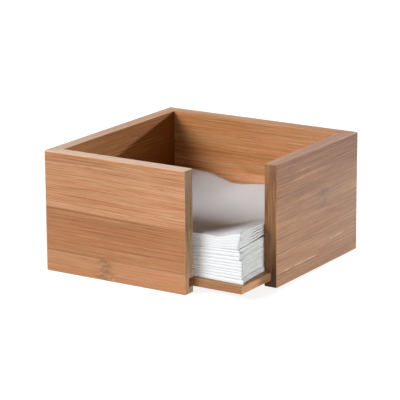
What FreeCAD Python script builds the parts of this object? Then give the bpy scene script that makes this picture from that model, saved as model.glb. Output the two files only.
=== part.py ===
import FreeCAD, Part
import math
import os

import Sketcher
from FreeCAD import Placement, Rotation, Vector

# An open-topped square napkin box of solid bamboo board, with its near corner left open for the
# fingers.  Four boards stand on edge.  Three corners are glued mitres.  At the fourth corner the
# front and the right board stop short of each other.  A thin base panel floats in a groove milled
# along the inside of all four boards and holds them square.  Fifteen folded paper napkins lie on it.
#
# Millimetres, +Z up.  The origin is the centre of the footprint, on the table.  -Y is the front and
# +X the right, so the open corner is at +X -Y.

os.makedirs("parts", exist_ok=True)
doc = FreeCAD.newDocument("NapkinBox")

# ---------------------------------------------------------------- driving dimensions

SIZES = [
    ("OuterSide", 150.0, "outer width and depth of the square box"),
    ("WallHeight", 81.0, "height of the four boards"),
    ("WallThick", 9.5, "thickness of the four boards"),
    ("FrontGap", 41.5, "front board's jamb to the right outer face"),
    ("SideGap", 43.0, "right board's jamb to the front outer face"),
    ("CornerRound", 1.3, "radius of the mitred corners, seen from above"),
    ("EdgeRound", 0.8, "radius of the eased edges of the boards"),
    ("GrooveLift", 4.6, "groove's lower side above the table"),
    ("GrooveHeight", 5.7, "groove's width, the panel's thickness with a little play"),
    ("GrooveDepth", 5.2, "groove's depth into the board"),
    ("CutterRun", 1.0, "how far the groove's cutter stands out of the board on the inside"),
    ("PanelSide", 138.2, "width and depth of the base panel"),
    ("PanelThick", 5.5, "thickness of the base panel"),
    ("PanelShift", 1.5, "panel's play, taken up towards the right and the back"),
    ("PanelEase", 0.5, "radius of the base panel's eased edges"),
    ("NapkinSide", 125.0, "side of a napkin folded in quarters"),
    ("NapkinThick", 1.98, "thickness of a folded napkin of four leaves"),
    ("NapkinPitch", 2.0, "height from one napkin to the next"),
    ("NapkinLift", 0.02, "air between the panel and the lowest napkin"),
    ("NapkinFlare", 3.6, "how far the free corner of a napkin springs out to the right"),
    ("NapkinNose", 0.6, "how far the free corner of a napkin springs out to the front"),
    ("NapkinBend", 29.0, "length of the side that springs out"),
    ("FoldRound", 0.85, "radius of a napkin's folded edges"),
]

sheet = doc.addObject("Spreadsheet::Sheet", "Sizes")
for row, (alias, value, note) in enumerate(SIZES, start=1):
    sheet.set(f"A{row}", alias)
    sheet.set(f"B{row}", str(value))
    sheet.set(f"C{row}", note)
    sheet.setAlias(f"B{row}", alias)
doc.recompute()
size = {alias: float(sheet.get(alias)) for alias, _, _ in SIZES}

NAPKIN_COUNT = 15
NEAR = 1e-4  # two places closer than this are the same place

# ---------------------------------------------------------------- helpers


def new_body(name):
    """An empty PartDesign body whose label is the name of its node."""
    body = doc.addObject("PartDesign::Body", name)
    body.Label = name
    return body


def new_sketch(body, name, plane):
    """A sketch on one of the body's own origin planes."""
    sketch = body.newObject("Sketcher::SketchObject", name)
    role = [f for f in body.Origin.OriginFeatures if f.Role == plane]
    sketch.AttachmentSupport = [(role[0], "")]
    sketch.MapMode = "FlatFace"
    return sketch


def add_chain(sketch, points, centres=None):
    """A closed chain of lines through the points; returns the index of its first line.

    Where centres names a point, what starts there is an arc about that centre, anticlockwise.
    """
    first = sketch.GeometryCount
    count = len(points)
    for i in range(count):
        start = Vector(*points[i], 0)
        end = Vector(*points[(i + 1) % count], 0)
        if centres and i in centres:
            centre = Vector(*centres[i], 0)
            circle = Part.Circle(centre, Vector(0, 0, 1), centre.distanceToPoint(start))
            shape = Part.ArcOfCircle(circle, circle.parameter(start), circle.parameter(end))
        else:
            shape = Part.LineSegment(start, end)
        sketch.addGeometry(shape, False)
    for i in range(count):
        after = first + (i + 1) % count
        sketch.addConstraint(Sketcher.Constraint("Coincident", first + i, 2, after, 1))
    return first


def pin(sketch, line, end, across, up, across_rule, up_rule):
    """Holds one end of a line at a place that follows the sheet."""
    for kind, value, rule in (("DistanceX", across, across_rule), ("DistanceY", up, up_rule)):
        made = sketch.addConstraint(Sketcher.Constraint(kind, -1, 1, line, end, value))
        sketch.setExpression(f"Constraints[{made}]", rule)


def pinned_chain(sketch, corners, centres=None):
    """A closed chain through corners of (across, up, rule, rule), each held where its rules say."""
    first = add_chain(sketch, [(across, up) for across, up, _, _ in corners], centres)
    for i, corner in enumerate(corners):
        pin(sketch, first + i, 1, *corner)
    return first


def pad(body, sketch, length_rule):
    """Raises a sketch into a solid."""
    solid = body.newObject("PartDesign::Pad", body.Name + "_solid")
    solid.Profile = sketch
    solid.setExpression("Length", length_rule)
    doc.recompute()
    return solid


def ease(body, base, chosen, radius_rule, name):
    """Rounds the edges of a feature that the function chosen picks."""
    names = [f"Edge{i}" for i, edge in enumerate(base.Shape.Edges, start=1) if chosen(edge)]
    fillet = body.newObject("PartDesign::Fillet", body.Name + name)
    fillet.Base = (base, names)
    fillet.setExpression("Radius", radius_rule)
    doc.recompute()
    return fillet


def seat(body, x_rule, y_rule, z_rule):
    """Places a body by rules that follow the sheet."""
    body.setExpression("Placement.Base.x", x_rule)
    body.setExpression("Placement.Base.y", y_rule)
    body.setExpression("Placement.Base.z", z_rule)


# ---------------------------------------------------------------- the four boards


def board_outline(sketch, left_gap, right_gap):
    """Plan of a board that lies along the front of the box.

    A gap names the cell that says how far that end stops short of the box's outer side: the end is
    then a square jamb.  With no gap the end is a mitre, and its sharp tip is rounded by half of the
    finished corner's arc, so that two boards make one round corner.
    """
    half = size["OuterSide"] / 2
    thick = size["WallThick"]
    soft = size["CornerRound"]
    tip = soft * (1 - math.cos(math.pi / 4))  # how far the arc keeps from the sharp corner

    def end(side, gap):
        """Places of one end: outer line's end, arc's end, inner line's end, with their rules."""
        sign = "-" if side < 0 else ""
        if gap:
            place = side * (half - size[gap])
            rule = f"{sign}(Sizes.OuterSide / 2 - Sizes.{gap})"
            return [(place, -half, rule, "-Sizes.OuterSide / 2")], (
                place, -half + thick, rule, "-Sizes.OuterSide / 2 + Sizes.WallThick")
        outer = (side * (half - soft), -half,
                 f"{sign}(Sizes.OuterSide / 2 - Sizes.CornerRound)", "-Sizes.OuterSide / 2")
        cut = "Sizes.OuterSide / 2 - Sizes.CornerRound * (1 - cos(45))"
        middle = (side * (half - tip), -half + tip, f"{sign}({cut})", f"-({cut})")
        inner = (side * (half - thick), -half + thick,
                 f"{sign}(Sizes.OuterSide / 2 - Sizes.WallThick)",
                 "-Sizes.OuterSide / 2 + Sizes.WallThick")
        return [outer, middle], inner

    left_outer, left_inner = end(-1, left_gap)
    right_outer, right_inner = end(1, right_gap)
    corners = left_outer[::-1] + right_outer + [right_inner, left_inner]
    centres = {}
    if not left_gap:
        centres[0] = (-half + soft, -half + soft)
    if not right_gap:
        centres[len(left_outer)] = (half - soft, -half + soft)
    first = pinned_chain(sketch, corners, centres)
    for i in centres:
        bow = sketch.addConstraint(Sketcher.Constraint("Radius", first + i, soft))
        sketch.setExpression(f"Constraints[{bow}]", "Sizes.CornerRound")


def board(name, turn, left_gap=None, right_gap=None):
    """One wall of the box: padded, its edges eased, grooved for the base panel, then turned."""
    half = size["OuterSide"] / 2
    height = size["WallHeight"]
    body = new_body(name)
    plan = new_sketch(body, name + "_plan", "XY_Plane")
    board_outline(plan, left_gap, right_gap)
    solid = pad(body, plan, "Sizes.WallHeight")

    jambs = []
    if left_gap:
        jambs.append(-half + size[left_gap])
    if right_gap:
        jambs.append(half - size[right_gap])

    def eased(edge):
        middle = edge.CenterOfMass
        upright = edge.BoundBox.ZLength > NEAR
        if upright:
            return any(abs(middle.x - jamb) < NEAR for jamb in jambs)
        on_mitre = abs(abs(middle.x) + middle.y) < NEAR
        return (middle.z < NEAR or middle.z > height - NEAR) and not on_mitre

    rounded = ease(body, solid, eased, "Sizes.EdgeRound", "_eased")

    section = new_sketch(body, name + "_groove", "YZ_Plane")
    inner = -half + size["WallThick"]
    floor = inner - size["GrooveDepth"]
    low = size["GrooveLift"]
    high = low + size["GrooveHeight"]
    inner_rule = "-Sizes.OuterSide / 2 + Sizes.WallThick"
    floor_rule = inner_rule + " - Sizes.GrooveDepth"
    low_rule = "Sizes.GrooveLift"
    high_rule = "Sizes.GrooveLift + Sizes.GrooveHeight"
    past = inner + size["CutterRun"]
    past_rule = inner_rule + " + Sizes.CutterRun"
    pinned_chain(section, [
        (floor, low, floor_rule, low_rule),
        (past, low, past_rule, low_rule),
        (past, high, past_rule, high_rule),
        (floor, high, floor_rule, high_rule),
    ])

    groove = body.newObject("PartDesign::Pocket", name + "_grooved")
    groove.Profile = section
    groove.Type = "ThroughAll"
    groove.Midplane = True
    doc.recompute()
    if groove.Shape.Volume > rounded.Shape.Volume - NEAR:
        raise RuntimeError(f"{name}: the groove cut nothing")
    body.Tip = groove
    body.Placement = Placement(Vector(), Rotation(Vector(0, 0, 1), turn))
    return body


front_wall = board("front_wall", 0, right_gap="FrontGap")
right_wall = board("right_wall", 90, left_gap="SideGap")
back_wall = board("back_wall", 180)
left_wall = board("left_wall", -90)

# ---------------------------------------------------------------- the base panel

base_panel = new_body("base_panel")
panel_plan = new_sketch(base_panel, "base_panel_plan", "XY_Plane")
pinned_chain(panel_plan, [
    (x * size["PanelSide"] / 2, y * size["PanelSide"] / 2,
     f"{x} * Sizes.PanelSide / 2", f"{y} * Sizes.PanelSide / 2")
    for x, y in ((-1, -1), (1, -1), (1, 1), (-1, 1))
])
panel_solid = pad(base_panel, panel_plan, "Sizes.PanelThick")
base_panel.Tip = ease(base_panel, panel_solid, lambda edge: edge.BoundBox.ZLength < NEAR,
                      "Sizes.PanelEase", "_eased")
seat(base_panel, "Sizes.PanelShift", "Sizes.PanelShift", "Sizes.GrooveLift")

# ---------------------------------------------------------------- the napkins

# How each pile of napkins lies, from the bottom: how many, then how far the pile stands right of and
# behind the middle of the box, how far it is turned, and how strongly its free corner springs out.
PILES = [
    (7, 2.5, -2.1, 0.0, 1.0),
    (3, 2.0, -1.9, 0.2, 0.6),
    (5, 0.9, -1.0, 0.5, 0.2),
]
UNEVEN = 0.25  # napkins in a pile lie this far out of line


def napkin_lays():
    """Place, turn and spring of each napkin, from the bottom up."""
    for count, across, back, turn, spring in PILES:
        for i in range(count):
            wander = UNEVEN * math.sin(2.2 * i)
            yield across + wander, back - wander / 2, turn, spring


def napkin(name, level, across, back, turn, spring):
    """A napkin folded in quarters, as one soft slab.

    Its front and its left side are folds, so they are round.  The free corner at the front right
    stands in the open corner of the box, and springs out of square there.
    """
    half = size["NapkinSide"] / 2
    flare = size["NapkinFlare"] * spring
    nose = size["NapkinNose"] * spring
    bend = size["NapkinBend"]
    body = new_body(name)
    plan = new_sketch(body, name + "_plan", "XY_Plane")
    side = "Sizes.NapkinSide / 2"
    pinned_chain(plan, [
        (-half, -half, f"-{side}", f"-{side}"),
        (half - bend, -half, f"{side} - Sizes.NapkinBend", f"-{side}"),
        (half + flare, -half - nose,
         f"{side} + {spring} * Sizes.NapkinFlare", f"-{side} - {spring} * Sizes.NapkinNose"),
        (half, -half + bend, side, f"-{side} + Sizes.NapkinBend"),
        (half, half, side, side),
        (-half, half, f"-{side}", side),
    ])
    slab = pad(body, plan, "Sizes.NapkinThick")

    def folded(edge):
        """The level edges of the front and of the left side."""
        box = edge.BoundBox
        on_left = box.XMax < -half + NEAR
        in_front = box.YMax < -half + NEAR
        return box.ZLength < NEAR and (on_left or in_front)

    body.Tip = ease(body, slab, folded, "Sizes.FoldRound", "_folds")
    body.Placement = Placement(Vector(), Rotation(Vector(0, 0, 1), turn))
    seat(body, str(across), str(back),
         f"Sizes.GrooveLift + Sizes.PanelThick + Sizes.NapkinLift + {level} * Sizes.NapkinPitch")
    return body


napkins = []
for level, lay in enumerate(napkin_lays()):
    napkins.append(napkin(f"napkin_{level + 1:02d}", level, *lay))
if len(napkins) != NAPKIN_COUNT:
    raise RuntimeError(f"{len(napkins)} napkins, and {NAPKIN_COUNT} wanted")

# ---------------------------------------------------------------- check and write

doc.recompute()
for thing in doc.Objects:
    if any(state in ("Invalid", "Error") for state in thing.State):
        raise RuntimeError(f"{thing.Label}: {thing.State}")

bodies = [front_wall, right_wall, back_wall, left_wall, base_panel] + napkins
for body in bodies:
    shape = body.Shape
    if shape.isNull() or not shape.isValid() or len(shape.Solids) != 1:
        raise RuntimeError(f"{body.Label}: its shape isn't one valid solid")
    shape.exportStep(f"parts/{body.Label}.step")
    box = shape.BoundBox
    print(f"{body.Label:12s} {shape.Volume / 1000:8.2f} cm3"
          f"  x {box.XMin:7.2f} {box.XMax:7.2f}  y {box.YMin:7.2f} {box.YMax:7.2f}"
          f"  z {box.ZMin:6.2f} {box.ZMax:6.2f}")
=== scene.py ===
import math
import random

import bpy
import numpy as np
from mathutils import Matrix, Vector


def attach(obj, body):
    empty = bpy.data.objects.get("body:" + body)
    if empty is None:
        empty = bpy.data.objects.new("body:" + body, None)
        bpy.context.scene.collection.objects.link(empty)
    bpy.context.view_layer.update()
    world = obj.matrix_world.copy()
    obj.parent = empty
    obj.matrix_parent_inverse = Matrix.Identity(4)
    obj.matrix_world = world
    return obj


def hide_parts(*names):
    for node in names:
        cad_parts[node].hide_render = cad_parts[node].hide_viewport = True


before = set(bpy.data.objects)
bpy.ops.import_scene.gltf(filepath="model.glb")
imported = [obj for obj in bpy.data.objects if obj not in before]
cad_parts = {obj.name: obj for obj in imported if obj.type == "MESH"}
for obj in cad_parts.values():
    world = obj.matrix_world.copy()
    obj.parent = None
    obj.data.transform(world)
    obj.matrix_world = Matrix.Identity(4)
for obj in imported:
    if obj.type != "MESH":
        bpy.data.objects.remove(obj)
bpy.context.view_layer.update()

bpy.ops.object.select_all(action="DESELECT")

# ---- The set: camera, lamps and table -------------------------------------------------------
# A long lens looks at the open corner from the front right and a little above.  A large soft lamp
# stands at the front left, a small one shines over the back board, and a lit card stands low at
# the right.  The white table throws their light back up at the boards.

view_side, view_up = math.radians(32.473), math.radians(15.015)
camera_tip = math.radians(-0.353)
camera_distance = 1.45205
look_at = Vector((-0.002108, -0.001342, 0.040747))
backwards = Vector((math.sin(view_side) * math.cos(view_up),
                    -math.cos(view_side) * math.cos(view_up), math.sin(view_up)))
rightwards = Vector((math.cos(view_side), math.sin(view_side), 0.0))
upwards = backwards.cross(rightwards)
camera = bpy.data.objects.new("camera", bpy.data.cameras.new("camera"))
bpy.context.collection.objects.link(camera)
bpy.context.scene.camera = camera
camera.data.sensor_width = 36.0
camera.data.lens = 197.24
camera.data.clip_start, camera.data.clip_end = 0.1, 50.0
upright = Matrix((rightwards, upwards, backwards)).transposed().to_4x4()
tipped = Matrix.Rotation(camera_tip, 4, "Z")
camera.matrix_world = (Matrix.Translation(look_at + backwards * camera_distance)
                       @ upright @ tipped)

bpy.context.scene.view_settings.view_transform = "Standard"


def lamp(name, place, watts, width, height):
    """A rectangular lamp or lit card at a place, facing the box."""
    light = bpy.data.lights.new(name, "AREA")
    light.energy = watts
    light.shape = "RECTANGLE"
    light.size, light.size_y = width, height
    stand = bpy.data.objects.new(name, light)
    bpy.context.collection.objects.link(stand)
    stand.location = place
    box_middle = Vector((0, 0, 0.05))
    stand.rotation_mode = "QUATERNION"
    stand.rotation_quaternion = (Vector(place) - box_middle).to_track_quat("Z", "Y")
    return stand


lamp("front_lamp", (-1.470, -2.112, 1.58), 101.0, 1.60, 1.50)
lamp("back_lamp", (0.066, 0.300, 0.138), 1.02, 0.010, 0.010)
side_card = lamp("side_card", (0.40, -0.14, 0.04), 1.02, 0.50, 0.08)
side_card.data.color = (0.99, 1.0, 0.95)


def seen_directly(tree):
    """1 where the camera sees something itself, in a gloss or through glass, and 0 where the
    thing only lights the box."""
    path = tree.nodes.new("ShaderNodeLightPath")
    total = path.outputs["Is Camera Ray"]
    for ray in ("Is Glossy Ray", "Is Transmission Ray"):
        added = tree.nodes.new("ShaderNodeMath")
        added.operation = "ADD"
        added.use_clamp = True
        tree.links.new(total, added.inputs[0])
        tree.links.new(path.outputs[ray], added.inputs[1])
        total = added.outputs[0]
    return total


world = bpy.data.worlds.new("room")
bpy.context.scene.world = world
world.use_nodes = True
room = world.node_tree
room.nodes.clear()
brightness = room.nodes.new("ShaderNodeMapRange")
brightness.inputs["To Min"].default_value = 0.04       # the faint light that it throws
brightness.inputs["To Max"].default_value = 1.0        # the white that is seen
air = room.nodes.new("ShaderNodeBackground")
air.inputs["Color"].default_value = (1.0, 1.0, 1.0, 1.0)
room_end = room.nodes.new("ShaderNodeOutputWorld")
room.links.new(seen_directly(room), brightness.inputs["Value"])
room.links.new(brightness.outputs["Result"], air.inputs["Strength"])
room.links.new(air.outputs[0], room_end.inputs["Surface"])

bpy.ops.mesh.primitive_plane_add(size=12.0, location=(0, 0, 0))
table = bpy.context.object
table.name = "table"
white = bpy.data.materials.new("white_table")
white.use_nodes = True
top = white.node_tree
top.nodes.clear()
# one matt paint throws light back at the box, and a glowing one shows the box's shadow
lighting_paint = top.nodes.new("ShaderNodeBsdfDiffuse")
lighting_paint.inputs["Color"].default_value = (0.38, 0.38, 0.38, 1.0)
shown_paint = top.nodes.new("ShaderNodeBsdfDiffuse")
shown_paint.inputs["Color"].default_value = (0.30, 0.30, 0.30, 1.0)
glow = top.nodes.new("ShaderNodeEmission")
spot = top.nodes.new("ShaderNodeTexCoord")
distance = top.nodes.new("ShaderNodeVectorMath")
distance.operation = "LENGTH"
fade = top.nodes.new("ShaderNodeMapRange")
for socket, value in (("From Min", 0.15), ("From Max", 0.50), ("To Min", 0.86), ("To Max", 1.0)):
    fade.inputs[socket].default_value = value
shown = top.nodes.new("ShaderNodeAddShader")
choice = top.nodes.new("ShaderNodeMixShader")
table_end = top.nodes.new("ShaderNodeOutputMaterial")
top.links.new(spot.outputs["Object"], distance.inputs[0])
top.links.new(distance.outputs["Value"], fade.inputs["Value"])
top.links.new(fade.outputs["Result"], glow.inputs["Strength"])
top.links.new(shown_paint.outputs[0], shown.inputs[0])
top.links.new(glow.outputs[0], shown.inputs[1])
top.links.new(seen_directly(top), choice.inputs["Fac"])
top.links.new(lighting_paint.outputs[0], choice.inputs[1])
top.links.new(shown.outputs[0], choice.inputs[2])
top.links.new(choice.outputs[0], table_end.inputs["Surface"])
table.data.materials.append(white)

# ---- The four boards ------------------------------------------------------------------------
# Each board is sawn from a solid sheet of bamboo: flat strips of caramel-coloured culm, some 28 mm
# wide, glued edge to edge, with the grain along the board.  The ends are mitred and glued, the
# edges are eased with fine paper, and the whole is finished with a thin satin lacquer.


class Finish:
    """A material in the making: its nodes, wired one after another."""

    def __init__(self, name):
        self.material = bpy.data.materials.new(name)
        self.material.use_nodes = True
        self.nodes = self.material.node_tree.nodes
        self.links = self.material.node_tree.links
        self.nodes.clear()

    def feed(self, socket, value):
        if isinstance(value, bpy.types.NodeSocket):
            self.links.new(value, socket)
        else:
            socket.default_value = value

    def make(self, kind, **values):
        made = self.nodes.new("ShaderNode" + kind)
        for name, value in values.items():
            setattr(made, name, value)
        return made

    def math(self, operation, a, b=0.0, c=0.0):
        made = self.make("Math", operation=operation)
        for socket, value in zip(made.inputs, (a, b, c)):
            self.feed(socket, value)
        return made.outputs[0]

    def add(self, a, b):
        return self.math("ADD", a, b)

    def times(self, a, b):
        return self.math("MULTIPLY", a, b)

    def more(self, value, amount, part):
        """value + amount * part"""
        return self.math("MULTIPLY_ADD", amount, part, value)

    def swing(self, pattern):
        """A pattern from 0 to 1, as what it adds or takes away."""
        return self.math("SUBTRACT", pattern, 0.5)

    def most(self, a, b):
        return self.math("MAXIMUM", a, b)

    def size_of(self, value):
        return self.math("ABSOLUTE", value)

    def bell(self, value):
        """1 at 0, falling off softly to either side."""
        return self.math("EXPONENT", self.times(self.times(value, value), -1.0))

    def line(self, value, centre, width):
        """1 at the centre, falling off softly over a width."""
        return self.bell(self.math("DIVIDE", self.math("SUBTRACT", value, centre), width))

    def span(self, value, low, high, to_low=0.0, to_high=1.0, smooth=False):
        """From to_low at low to to_high at high, and level outside."""
        made = self.make("MapRange", interpolation_type="SMOOTHSTEP" if smooth else "LINEAR")
        for name, given in (("Value", value), ("From Min", low), ("From Max", high),
                            ("To Min", to_low), ("To Max", to_high)):
            self.feed(made.inputs[name], given)
        return made.outputs["Result"]

    def joined(self, x, y, z):
        made = self.make("CombineXYZ")
        for socket, value in zip(made.inputs, (x, y, z)):
            self.feed(socket, value)
        return made.outputs[0]

    def apart(self, vector):
        made = self.make("SeparateXYZ")
        self.feed(made.inputs[0], vector)
        return made.outputs

    def cloud(self, vector, scale=1.0, detail=2.0, roughness=0.5):
        """Soft noise from 0 to 1."""
        made = self.make("TexNoise")
        self.feed(made.inputs["Vector"], vector)
        made.inputs["Scale"].default_value = scale
        made.inputs["Detail"].default_value = detail
        made.inputs["Roughness"].default_value = roughness
        return made.outputs["Fac"]

    def ramp(self, value, stops):
        made = self.make("ValToRGB")
        rungs = made.color_ramp.elements
        while len(rungs) < len(stops):
            rungs.new(0.5)
        for rung, (place, colour) in zip(rungs, stops):
            rung.position = place
            rung.color = (*colour, 1.0)
        self.feed(made.inputs["Fac"], value)
        return made.outputs["Color"]

    def blend(self, amount, under, over, how="MIX"):
        made = self.make("Mix", data_type="RGBA", blend_type=how)
        self.feed(made.inputs[0], amount)
        self.feed(made.inputs[6], under)
        self.feed(made.inputs[7], (*over, 1.0) if isinstance(over, tuple) else over)
        return made.outputs[2]

    def stained(self, amount, colour, stain):
        return self.blend(amount, colour, stain, "MULTIPLY")

    def bumped(self, relief, strength, height):
        """A normal that follows a relief of a height in metres."""
        made = self.make("Bump")
        made.inputs["Strength"].default_value = strength
        made.inputs["Distance"].default_value = height
        self.feed(made.inputs["Height"], relief)
        return made.outputs["Normal"]

    def finished(self, skin):
        end = self.make("OutputMaterial")
        self.feed(end.inputs["Surface"], skin.outputs[0])
        return self.material


def bamboo(name, along, strips, edge=(0.0, 0.0), slope=0.0, contrast=(1.0, 1.0), tint=(1, 1, 1),
           end_tint=(1, 1, 1), lacquer=1.6, dull=0.0, painted_light_drift=0.0, outer=0.0,
           inner_tint_and_shade=(1, 1, 1), painted_pile_bounce=None, sawn=1.0, pooled=None, knots=(), scratches=()):
    """Satin bamboo, its grain along X or Y.

    strips: from the bottom, each strip's upper edge in mm, its lightness from 0 to 1 at its lower
    and upper sides, and the same for its end grain.
    edge: how much paler the sanded upper edge is, from one end of the board to the other.
    slope: how far a strip's edge climbs per millimetre of board.
    painted_light_drift: how much lighter the board is painted at its far end than in its middle,
    painted light where more light falls on one end.
    outer: how much lighter the face turned outward is.
    contrast: how strong the grain is at the bottom and at the top.
    tint, end_tint, inner_tint_and_shade: what the colours of the board, of its end grain and of its
    inner face are multiplied by; the inner face's multiplier is partly its own colour and partly
    painted shade.
    painted_pile_bounce: how many times paler the inner face is painted low down, up to just above
    the napkins' top, as painted light thrown back from the white pile.
    lacquer, dull: the refractive index of its finish, and how much rougher than satin it is.
    sawn: 1 for end grain at the ends, 0 for edges that all show their fibres lying flat.
    pooled: from where to where along its ends painted shade darkens them, fully from the second
    place on, toward the jamb, in mm.
    knots: place along the board, lower and upper edge, half widths there, in mm, how dark its
    dashes are, and how dark the line over it.
    scratches: first and last place along the board, and height, in mm.
    """
    wood = Finish(name)
    in_mm = wood.make("VectorMath", operation="SCALE")
    wood.feed(in_mm.inputs[0], wood.make("TexCoord").outputs["Object"])
    in_mm.inputs["Scale"].default_value = 1000.0
    run, deep, up = wood.apart(in_mm.outputs[0])
    facing = wood.apart(wood.make("TexCoord").outputs["Normal"])
    end_on, face_on = facing[0], facing[1]
    if along == "Y":
        run, deep = deep, run
        end_on, face_on = face_on, end_on

    # the strips' edges climb and wander a little
    wander = wood.cloud(wood.joined(wood.times(run, 0.018), wood.times(up, 0.03),
                                    wood.times(deep, 0.03)), detail=1.0)
    height = wood.more(up, run, slope)
    height = wood.more(height, wood.swing(wander), 2.2)

    # the strips: lightness in red, a number that makes each one's grain its own in green, and the
    # end grain's lightness in blue
    ramp_height, seam = 100.0, 0.0005
    rng = random.Random(name)
    stops, low = [], 0.0
    for high, low_light, high_light, low_end, high_end in strips:
        number = rng.random()
        stops.append((low / ramp_height, (low_light, number, low_end)))
        stops.append((high / ramp_height - seam, (high_light, number, high_end)))
        low = high
    told = wood.make("SeparateColor")
    wood.feed(told.inputs[0], wood.ramp(wood.math("DIVIDE", height, ramp_height), stops))
    light, number, end_light = told.outputs
    far = wood.times(number, 400.0)

    # at a knot the fibres bulge, run crooked and darken in short dashes
    fibre_height = height
    knot_dark = 0.0
    for centre, bottom, ceiling, half_low, half_high, depth, rim in knots:
        half = wood.span(up, bottom, ceiling, half_low, half_high)
        near = wood.math("DIVIDE", wood.math("SUBTRACT", run, centre), half)
        spread = wood.bell(near)
        soft = 0.8
        within = wood.times(wood.span(up, bottom - soft, bottom + soft, smooth=True),
                            wood.span(up, ceiling + soft, ceiling - soft, smooth=True))
        mark = wood.times(spread, within)
        crooked = wood.cloud(wood.joined(wood.times(run, 0.20), wood.times(up, 0.35),
                                         wood.times(deep, 0.3)), detail=2.0)
        fibre_height = wood.more(fibre_height, wood.swing(crooked), wood.times(mark, 16.0))
        dashes = wood.cloud(wood.joined(wood.times(run, 0.20), wood.times(up, 1.25),
                                        wood.times(deep, 0.5)), detail=2.0, roughness=0.6)
        dark = wood.times(mark, wood.span(dashes, 0.44, 0.56, 0.14 * depth, depth, smooth=True))
        pale = wood.times(mark, wood.span(dashes, 0.46, 0.38, smooth=True))
        light = wood.more(light, pale, 0.45 * depth)
        bowed = wood.more(up, wood.size_of(near), 1.2)
        over = wood.times(wood.line(bowed, ceiling + 0.3, 1.5), spread)
        knot_dark = wood.most(wood.most(dark, wood.times(over, rim)), knot_dark)

    def fibres(per_run, per_height, detail, shift, roughness=0.55):
        """So many fibres per mm along and up the board, and hardly any across flat edges."""
        return wood.cloud(wood.joined(
            wood.more(far, run, per_run),
            wood.more(shift, fibre_height, per_height),
            wood.times(deep, per_height * (0.03 + 0.97 * sawn))),
            detail=detail, roughness=roughness)

    broad = fibres(0.010, 0.20, 2.0, 3.1)
    streaks = fibres(0.013, 1.15, 3.0, 11.7, 0.65)
    fine = fibres(0.045, 3.1, 2.0, 47.3)
    hairs = fibres(0.007, 1.7, 1.0, 83.9)
    flecks = fibres(0.110, 1.5, 1.0, 211.0)
    hue = fibres(0.012, 0.60, 3.0, 131.0)
    grain = wood.times(wood.swing(broad), 0.50)
    grain = wood.more(grain, wood.swing(streaks), 1.05)
    grain = wood.more(grain, wood.swing(fine), 0.75)
    grain = wood.more(grain, wood.span(hairs, 0.60, 0.68, smooth=True), -0.20)
    grain = wood.more(grain, wood.span(flecks, 0.60, 0.70, smooth=True), -0.16)

    # where on the board: its sanded upper edge, its outer and inner faces, its rounded arrises,
    # which get a painted highlight, and its cut ends
    upper_edge = wood.span(facing[2], 0.5, 0.95, smooth=True)
    outward = wood.times(deep, face_on)
    outer_face = wood.span(outward, 20.0, 55.0)
    inner_face = wood.span(outward, -20.0, -55.0)
    squareness = wood.most(wood.size_of(facing[0]),
                           wood.most(wood.size_of(facing[1]), wood.size_of(facing[2])))
    arris = wood.span(squareness, 0.98, 0.90, smooth=True)
    cut_end = wood.span(wood.size_of(end_on), 0.80, 0.97, smooth=True)

    tone = wood.more(light, upper_edge, wood.span(run, -70.0, 70.0, *edge))
    # painted light: the board is painted lighter toward one end, where more light falls on it
    tone = wood.more(tone, run, painted_light_drift / 70.0)
    tone = wood.more(tone, outer_face, outer)
    tone = wood.more(tone, grain, wood.span(up, 0.0, 85.0, *contrast))
    # painted highlight: the rounded arrises are painted paler
    tone = wood.more(tone, arris, 0.18)
    tone_scale = 0.7
    colour = wood.ramp(wood.times(tone, tone_scale), [
        (0.0, (0.275, 0.088, 0.019)), (0.231, (0.408, 0.158, 0.047)),
        (0.462, (0.545, 0.256, 0.117)), (0.70, (0.680, 0.376, 0.225)),
        (1.0, (0.850, 0.560, 0.400))])
    colour = wood.stained(1.0, colour, tint)
    # the inner face is tinted and darkened: partly its own colour, partly painted shade where it
    # stands out of the light
    colour = wood.stained(inner_face, colour, inner_tint_and_shade)
    # painted light: a low band of the inner face, up to just above the napkins' top, is painted
    # paler, as if lit by light thrown back from the white pile
    if painted_pile_bounce:
        pile_bounce_band = wood.span(up, wood.span(run, -19.0, -4.0, 52.5, 45.2),
                           wood.span(run, -41.0, -20.0, 48.0, 42.5))
        colour = wood.stained(wood.times(inner_face, pile_bounce_band), colour, painted_pile_bounce)
    colour = wood.stained(wood.span(hue, 0.42, 0.62, 0.0, 0.9), colour, (1.0, 0.90, 0.82))
    colour = wood.stained(wood.span(hue, 0.58, 0.38, 0.0, 0.9), colour, (0.95, 1.0, 0.94))

    # the glue lines between strips
    for high, *_ in strips[:-1]:
        faint = wood.cloud(wood.joined(wood.times(run, 0.03), high, 0.0), detail=2.0)
        glue = wood.times(wood.line(height, high, 0.45), wood.span(faint, 0.35, 0.65, 0.15, 0.7))
        colour = wood.blend(glue, colour, (0.22, 0.085, 0.030))
    if knots:
        colour = wood.blend(knot_dark, colour, (0.18, 0.074, 0.028))

    for first, last, middle in scratches:
        broken = wood.span(wood.cloud(wood.joined(wood.times(run, 0.30), middle, 0.0),
                                      detail=2.0), 0.36, 0.50)
        scratch = wood.times(wood.line(wood.more(up, run, -0.01), middle, 0.3), broken)
        scratch = wood.times(scratch, wood.times(wood.span(run, first - 1, first + 2),
                                                 wood.span(run, last + 1, last - 2)))
        colour = wood.blend(scratch, colour, (0.95, 0.66, 0.44))

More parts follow.
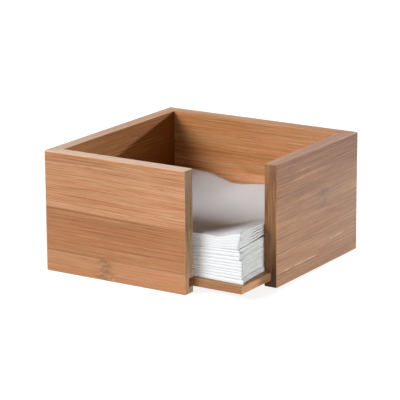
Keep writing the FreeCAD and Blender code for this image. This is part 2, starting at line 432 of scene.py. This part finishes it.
    # end grain: the cut ends of the fibres, darker, dotted and sawn in upright lines.  A mitre's
    # closed face is glued, so only the jambs show this.
    pores = wood.cloud(wood.joined(wood.times(run, 0.5), wood.times(up, 0.9),
                                   wood.times(deep, 1.1)), detail=3.0, roughness=0.6)
    saw_lines = wood.cloud(wood.joined(wood.times(run, 0.2), wood.times(up, 0.045),
                                       wood.times(deep, 0.75)), detail=2.0)
    end_tone = wood.more(end_light, wood.swing(pores), 0.75 * sawn)
    end_tone = wood.more(end_tone, wood.swing(saw_lines), 1.4 * sawn)
    end_tone = wood.more(end_tone, grain, 0.9 * (1 - sawn))
    # painted shade: the end grain is darkened toward the jamb, where the jamb shades it
    if pooled:
        end_tone = wood.more(end_tone, wood.span(deep, *pooled, smooth=True), -0.55)
    # painted highlight on the end grain's arrises too
    end_tone = wood.more(end_tone, arris, 0.30)
    end_colour = wood.ramp(wood.times(end_tone, tone_scale), [
        (0.0, (0.060, 0.022, 0.005)), (0.35, (0.230, 0.112, 0.050)),
        (0.70, (0.430, 0.248, 0.148)), (1.0, (0.860, 0.490, 0.280))])
    colour = wood.blend(cut_end, colour, wood.stained(1.0, end_colour, end_tint))

    # the lacquer is duller on the upper edge, on the arrises and on end grain, which drinks it
    rough = wood.span(streaks, 0.3, 0.7, 0.22, 0.30)
    rough = wood.add(rough, wood.span(upper_edge, 0.0, 1.0, dull, 0.14))
    rough = wood.more(wood.more(rough, cut_end, 0.5), arris, 0.35)

    relief = wood.add(wood.times(fine, 0.6), wood.times(streaks, 0.8))
    relief = wood.more(relief, pores, wood.times(cut_end, 2.0))

    skin = wood.make("BsdfPrincipled")
    wood.feed(skin.inputs["Base Color"], colour)
    wood.feed(skin.inputs["Roughness"], rough)
    wood.feed(skin.inputs["Normal"], wood.bumped(relief, 0.10, 0.0001))
    skin.inputs["IOR"].default_value = lacquer
    return wood.finished(skin)


def dress(node, material):
    """Gives a board or the panel its finish."""
    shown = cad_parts[node]
    shown.data.materials.clear()
    shown.data.materials.append(material)


dress("front_wall", bamboo(
    "bamboo_front", "X",
    [(14.3, 0.58, 0.56, 1.20, 1.00), (42.3, 0.44, 0.31, 0.88, 0.78),
     (71.0, 0.63, 0.70, 0.60, 0.56), (100.0, 0.57, 0.54, 0.60, 0.55)],
    edge=(0.96, 1.0), slope=0.012, contrast=(0.66, 1.45), end_tint=(0.80, 0.85, 0.84),
    knots=[(-28.0, 0.0, 14.5, 7.0, 5.5, 0.68, 0.0)]))
# The right board is painted darker toward its top, painted shade where less light reaches it, and
# its jamb's end grain is painted near black toward its foot, painted shade low on the jamb.
dress("right_wall", bamboo(
    "bamboo_right", "Y",
    [(22.5, 0.56, 0.62, -1.10, 0.34), (50.5, 0.62, 0.48, 0.42, 0.46),
     (78.5, 0.50, 0.10, 0.44, 0.48), (100.0, 0.0, -0.10, 0.48, 0.48)],
    edge=(0.92, 0.0), painted_light_drift=0.06, contrast=(1.3, 2.0), tint=(0.86, 0.83, 0.74),
    end_tint=(0.94, 0.80, 0.54), knots=[(27.7, 40.0, 50.5, 2.2, 8.0, 0.85, 1.0)],
    scratches=[(36.8, 55.0, 16.0), (-25.7, 18.5, 9.5)]))
# The back board is painted lighter toward its right end: painted light.
dress("back_wall", bamboo(
    "bamboo_back", "X",
    [(28.0, 0.5, 0.5, 0.5, 0.5), (56.0, 0.52, 0.57, 0.5, 0.5), (84.0, 0.60, 0.72, 0.5, 0.5)],
    edge=(0.22, -0.56), painted_light_drift=0.16, contrast=(0.72, 0.88), tint=(0.97, 1.0, 1.04),
    # the inner face is painted paler just above the napkins: painted light from the pile
    painted_pile_bounce=(1.52, 1.65, 2.05), lacquer=1.22, knots=[(22.0, 0.0, 28.0, 6.0, 8.0, 0.55, 0.3)]))
# The left board is painted lighter toward its front end: painted light from the open corner.
dress("left_wall", bamboo(
    "bamboo_left", "Y",
    [(33.0, 0.5, 0.5, 0.5, 0.5), (61.0, 0.36, 0.33, 0.5, 0.5), (89.0, 0.37, 0.42, 0.5, 0.5)],
    edge=(0.46, 1.00), painted_light_drift=-0.60, outer=0.10, contrast=(1.2, 1.4), tint=(0.94, 0.93, 0.96),
    # the inner face's darkening is partly painted shade
    inner_tint_and_shade=(0.74, 0.70, 0.36), lacquer=1.27, dull=0.42,
    knots=[(-38.0, 33.0, 61.0, 4.0, 6.5, 0.38, 0.2)]))

# ---- The base panel -------------------------------------------------------------------------
# A thin sheet of the same bamboo, slid into the grooves before the last mitre is glued.  Its edges
# are only broken with paper.  The free corner stands out into the open corner of the box.

# The panel's right edge is painted darker near the right jamb: painted shade.
dress("base_panel", bamboo(
    "bamboo_panel", "X", [(100.0, 0.50, 0.50, 1.36, 1.36)],
    contrast=(0.8, 0.8), tint=(0.81, 0.93, 1.16), end_tint=(0.87, 0.81, 0.78), lacquer=1.35,
    sawn=0.0, pooled=(-52.0, -40.0)))

# ---- The napkins ----------------------------------------------------------------------------
# Soft white tissue, 250 mm square, folded in half twice, so each napkin is four leaves thick.  The
# folds lie at the left and at the front, and the free leaf edges show at the right.  They were laid
# in as three piles: seven, three and five, each a little out of line with the one below.

paper = Finish("white_tissue")
on_paper = paper.make("UVMap", uv_map="paper").outputs[0]
dimples = paper.make("TexVoronoi")
paper.feed(dimples.inputs["Vector"], on_paper)
dimples.inputs["Scale"].default_value = 220.0
crumple = paper.cloud(on_paper, scale=9.0, detail=3.0)
relief = paper.more(paper.times(dimples.outputs["Distance"], 0.5), crumple, 3.0)
skin = paper.make("BsdfPrincipled")
skin.inputs["Base Color"].default_value = (0.825, 0.838, 0.861, 1.0)
skin.inputs["Roughness"].default_value = 0.9
skin.inputs["Specular IOR Level"].default_value = 0.2
paper.feed(skin.inputs["Normal"], paper.bumped(relief, 0.12, 0.0002))
tissue = paper.finished(skin)

leaf = 0.5            # height that a leaf takes up in the pile, mm
folded_side = 125.0   # side of a folded napkin, mm
# how many napkins lie up to the top of each pile
first_pile, second_pile, napkins = 7, 10, 15
in_top_pile = napkins - second_pile


def crease_lines(turn, steps, flat):
    """Places across the sheet, dense round the fold in its middle, as distances along the paper."""
    half = [turn * i / steps for i in range(1, steps + 1)] + [turn + x for x in flat]
    return np.array([-x for x in reversed(half)] + [0.0] + half)


left_turn = math.pi * leaf / 4        # half the paper in the left fold's turn
front_turn = math.pi * leaf / 2       # the same for the front fold, which wraps two leaves
across_flat = [0.8, 2.5, 6, 12, 20, 29, 38, 47, 56, 65, 73, 81, 88, 94, 99, 103.5, 107.5, 111,
               114, 116.5, 118.7, 120.6, 122.2, 123.5]
deep_flat = [0.6, 1.4, 2.6, 4.2, 6.2, 8.6, 11.4, 14.5, 17.5, 20.5, 23.5, 26.5, 29.5, 32.5, 36,
             40, 45, 51, 58, 66, 74, 82, 90, 98, 106, 113, 119]
across = crease_lines(left_turn, 3, across_flat + [folded_side - left_turn])
deep = crease_lines(front_turn, 4, deep_flat + [folded_side - front_turn])


def sagging(points):
    """A smooth height field through (x, y, height) points, in mm."""
    points = np.array(points, float)
    place, height = points[:, :2], points[:, 2]

    def bend(gap):
        return gap ** 2 * np.log(gap + 1e-9)

    n = len(points)
    gaps = np.linalg.norm(place[:, None] - place[None], axis=2)
    system = np.zeros((n + 3, n + 3))
    system[:n, :n] = bend(gaps)
    system[:n, n] = 1
    system[:n, n + 1:] = place
    system[n:, :n] = system[:n, n:].T
    weights = np.linalg.solve(system, np.append(height, [0, 0, 0]))

    def at(x, y):
        total = weights[n] + weights[n + 1] * x + weights[n + 2] * y
        for (px, py), weight in zip(place, weights):
            total = total + weight * bend(np.hypot(x - px, y - py))
        return total

    return at


def ease(x, low, high):
    """0 below low, 1 above high, and smooth between."""
    t = np.clip((x - low) / (high - low), 0.0, 1.0)
    return t * t * (3 - 2 * t)


# where the upper pile begins, and the top of the stack
upper_base = sagging([
    (-62, -62, 31.0), (0, -63, 30.4), (34, -64, 30.4), (49, -64, 31.1), (66, -63, 32.2),
    (65, -48, 32.6), (65, -34, 32.9), (50, -35, 30.0), (62, 0, 32.0), (62, 60, 31.5),
    (9, 62, 31.8), (-14, 62, 30.6), (-40, 62, 33.5), (-62, 62, 33.0), (0, 0, 27.4),
    (12, 20, 29.0), (30, -25, 27.3), (-62, 0, 31.5)])
stack_top = sagging([
    (-62, -62, 40.5), (0, -63, 40.0), (34, -64, 40.9), (42, -64, 41.0), (50, -64, 40.2),
    (57.6, -64, 40.9), (63, -64, 42.5), (67, -64, 43.3), (66, -58, 43.2), (66, -50, 42.9),
    (66, -42, 42.7), (66, -33, 42.2), (34, -56, 40.0), (44, -56, 39.9), (57, -56, 41.1),
    (60, -50, 41.8), (60, -40, 42.0), (60, -30, 42.1), (54, -48, 40.6), (54, -36, 40.6),
    (34, -47, 39.1), (46, -46, 39.6), (46, -34, 38.3), (58, -22, 40.4), (52, -12, 37.8),
    (64, 10, 40.8), (62, 60, 40.6), (36, 62, 40.6), (9, 62, 39.9), (2, 62, 39.2),
    (-5, 62, 38.2), (-13, 62, 37.9), (-19, 62, 39.2), (-24, 62, 41.3), (-35, 62, 43.1),
    (-48, 62, 43.3), (-62, 62, 42.0), (-8, 30, 36.6), (-30, 30, 40.0), (12, 20, 37.6),
    (12, 42, 40.4), (14, 0, 35.3), (0, -20, 35.6), (20, -28, 35.5), (34, -38, 37.5),
    (34, -22, 35.0), (30, 0, 35.2), (-30, 0, 38.0), (-62, 0, 40.5)])
panel_top = 10.12
front_folds = np.array([10.1, 13.2, 15.1, 17.0, 18.5, 21.0, 22.8, 24.9, 27.4, 29.8, 31.6])
front_share = (front_folds - front_folds[0]) / (front_folds[-1] - front_folds[0])
chance = random.Random(4)
swells = [[(chance.uniform(0.02, 0.09), chance.uniform(0.02, 0.09), chance.uniform(0, 6.3))
           for _ in range(3)] for _ in range(napkins + 1)]


def underside(k, x, y):
    """Height of the boundary below napkin k, in mm."""
    base = upper_base(x, y)
    if k <= second_pile:
        # the front folds are of uneven height, and further back the napkins even out
        even = k / second_pile
        share = front_share[k] + (even - front_share[k]) * ease(y, -60, 0)
        height = panel_top + (base - panel_top) * share
    else:
        height = base + (stack_top(x, y) - base) * (k - second_pile) / in_top_pile
        # the upper napkins' front folds are rolled over, the lower ones less and less
        roll = (2.3 - 1.8 * ease(x, 48, 62)) * 0.75 ** (napkins - k)
        height = height - roll * np.exp(-(y + 64.4) / 6.0)
        # and their sides are ruffled beside the right jamb
        ruffle = ease(x, 61, 65) * ease(y, -52, -40) * ease(y, -14, -26)
        height = height + 0.30 * ruffle * np.sin(0.55 * y + 1.9 * k) * (k < napkins)
    if 0 < k < napkins:
        for fx, fy, phase in swells[k]:
            height = height + 0.09 * np.sin(fx * x + fy * y + phase)
    return height


# how each napkin lies: its left and front sides' places, its turn in degrees, how far its free
# corner springs out, how deep its front fold is rounded at the left and at the free corner, and
# how thick its paper lies
lies = []
for k in range(napkins):
    if k < first_pile:
        lies.append((-60.1, -64.6, 0.0, 4.5 + 0.1 * math.sin(2.3 * k), 0.42, 0.36, 0.40))
    elif k < second_pile:
        lies.append((-60.1, -64.5, 0.2, (1.9, 2.8, 1.9)[k - first_pile], 0.55, 0.6, 0.40))
    else:
        front = (-64.2, -64.25, -64.25, -64.2, -64.1)[k - second_pile]
        lies.append((-60.3, front, 0.5, 0.3 + 0.55 * (k - second_pile), 0.20, 0.05, 0.34))


def napkin(k):
    """A sheet folded in half at the left, then in half again at the front."""
    bpy.ops.mesh.primitive_grid_add(x_subdivisions=len(across) - 1, y_subdivisions=len(deep) - 1,
                                    size=2.0)
    piece = bpy.context.object
    piece.name = piece.data.name = f"tissue_napkin_{k + 1:02d}"
    mesh = piece.data
    flat = np.empty(len(mesh.vertices) * 3)
    mesh.vertices.foreach_get("co", flat)
    flat = flat.reshape(-1, 3)
    column = np.rint((flat[:, 0] + 1) / 2 * (len(across) - 1)).astype(int)
    row = np.rint((flat[:, 1] + 1) / 2 * (len(deep) - 1)).astype(int)
    # each place on the sheet, as its distance from the left fold and from the front fold
    from_left, from_front = across[column], deep[row]

    # fold at the left: two leaves, a leaf's height apart
    left_radius = leaf / 2
    angle = np.clip(from_left / left_radius, -math.pi / 2, math.pi / 2)
    inward = left_radius * (1 - np.cos(angle)) + np.maximum(np.abs(from_left) - left_turn, 0)
    outward = left_radius * np.sin(angle)
    # fold at the front: the pair wraps round itself
    front_radius = leaf
    angle = np.clip(from_front / front_radius, -math.pi / 2, math.pi / 2)
    left_x, front_y, turn, spring, left_depth, free_depth, thickness = lies[k]
    depth = left_depth + (free_depth - left_depth) * ease(left_x + inward, 34, 58)
    back = depth * (1.5 * front_radius - (front_radius + outward) * np.cos(angle))
    back = back + np.maximum(np.abs(from_front) - front_turn, 0)
    share = (2 * leaf - (front_radius + outward) * np.sin(angle)) / (4 * leaf)

    # free leaf edges at the right don't quite line up
    rng = random.Random(k * 7 + 3)
    ragged = [rng.uniform(-0.18, 0.18) for _ in range(4)]
    if k == 0:
        ragged = [r + 0.9 for r in ragged]
    outer, inner = (ragged[0] + ragged[3]) / 2, (ragged[1] + ragged[2]) / 2
    own = np.where(from_left > 0, np.where(from_front > 0, ragged[0], ragged[3]),
                   np.where(from_front > 0, ragged[1], ragged[2]))
    mean = np.where(from_left > 0, outer, inner)
    slip = mean + (own - mean) * ease(back, 0, 14)
    inward = inward + slip * ease(inward, 60, folded_side)

    # the free corner springs out to the right and to the front, and the napkin lies askew
    flare = 0.45 * np.maximum(1 - back / 28.0, 0) + 0.55 * np.exp(-back / 4.0)
    x = left_x + inward + spring * flare * ease(inward, 80, folded_side)
    y = front_y + back
    y = y - 0.6 * np.exp(-((folded_side - inward) / 14.0) ** 2) * np.exp(-back / 9.0)
    askew = math.radians(turn)
    x, y = (x * math.cos(askew) - y * math.sin(askew),
            x * math.sin(askew) + y * math.cos(askew))

    low, high = underside(k, x, y), underside(k + 1, x, y)
    if k >= second_pile:      # the upper pile stands off the one below at the right
        stand_off = 1.1 * np.exp(-((x - 66) / 7) ** 2 - ((y + 30) / 10) ** 2)
        low = low + stand_off * (napkins - k) / in_top_pile
        high = high + stand_off * (napkins - 1 - k) / in_top_pile
    if k == second_pile:
        low = low + 0.30 * ease(x, 40, 62)
    if k == 0:
        high = high - 0.22 * ease(x, 40, 62)
    # the outer leaves, 3/8 of the height above and below the middle, almost touch the napkins
    # above and below, and the upper pile's are open at the right side
    hair = 0.015
    reach = ((high - low) / 2 - thickness / 2 - hair) / 0.375
    if k >= second_pile:
        reach = reach * (1 - 0.50 * ease(x, 52, 66) * ease(y, -58, -40) * ease(y, 0, -20))
    z = (low + high) / 2 + (share - 0.5) * reach
    mesh.vertices.foreach_set("co", (np.column_stack([x, y, z]) / 1000.0).ravel())

    unfolded = mesh.uv_layers[0]
    unfolded.name = "paper"
    corner = np.empty(len(mesh.loops), int)
    mesh.loops.foreach_get("vertex_index", corner)
    on_sheet = np.column_stack([from_left, from_front])[corner] / (2 * folded_side) + 0.5
    unfolded.data.foreach_set("uv", on_sheet.ravel())

    thick = piece.modifiers.new("paper", "SOLIDIFY")
    thick.thickness = thickness / 1000.0
    thick.offset = 0.0
    bpy.ops.object.modifier_apply(modifier=thick.name)
    bpy.ops.object.shade_smooth()
    piece.data.materials.append(tissue)
    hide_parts(f"napkin_{k + 1:02d}")
    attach(piece, "top_napkin" if k == napkins - 1 else "napkin_stack")


for k in range(napkins):
    bpy.ops.object.select_all(action="DESELECT")
    napkin(k)
